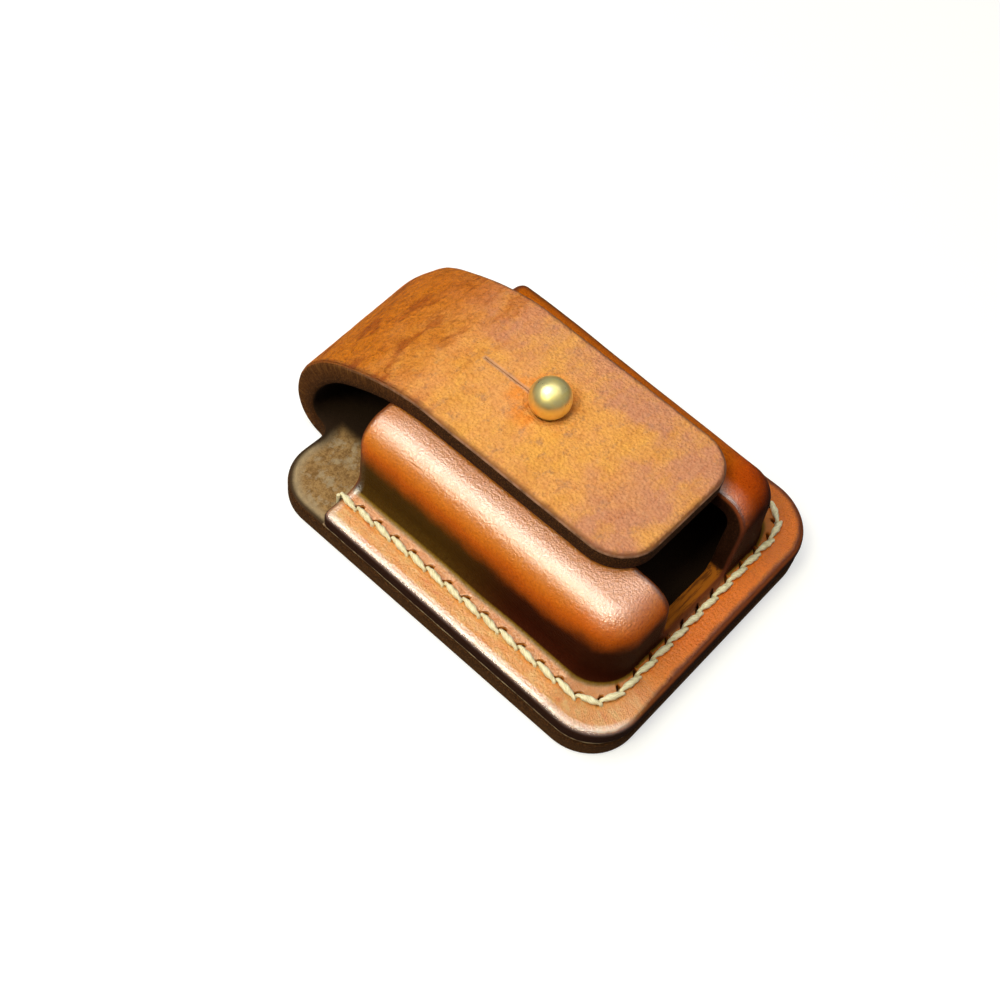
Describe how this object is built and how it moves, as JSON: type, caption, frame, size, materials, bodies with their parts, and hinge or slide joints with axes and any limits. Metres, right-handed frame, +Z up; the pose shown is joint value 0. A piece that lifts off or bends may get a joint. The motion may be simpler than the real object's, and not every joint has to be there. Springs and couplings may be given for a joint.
{
  "type": "lighter case",
  "caption": "Moulded leather case for a pocket lighter, with a folded strap and flap that buttons over a brass ball stud and a finger notch at the closed end.",
  "frame": {"origin": "on the back face, under the middle of the whole length and width", "axes": "+X across the case, +Y along it from the closed end to the mouth and the fold, +Z up out of the back face towards the flap and its stud"},
  "size_m": [0.0614, 0.0826, 0.0317],
  "materials": {
    "back_leather": "vegetable tanned leather, aged to a mottled orange tan with a pebbled grain where it bends, dark burnished edges",
    "front_leather": "wet moulded vegetable tanned leather, waxed amber orange, darker low on its walls",
    "waxed_thread": "thick waxed cream thread",
    "brass": "turned and polished brass"
  },
  "bodies": {
    "case": {"back_panel": "back_leather", "front_shell": "front_leather", "thread_strand_one": "waxed_thread", "thread_strand_two": "waxed_thread", "stud_ball": "brass", "stud_screw": "brass"},
    "flap": {"flap": "back_leather", "strap_fold": "back_leather", "buttonhole_lips": "back_leather"}
  },
  "joints": [
    {"name": "flap_fold", "type": "hinge", "parent": "case", "child": "flap", "pos_m": [0, 0.03935, 0.008], "axis": [-1, 0, 0], "range_deg": [0, 135], "deforming": ["strap_fold", "buttonhole_lips"]}
  ]
}
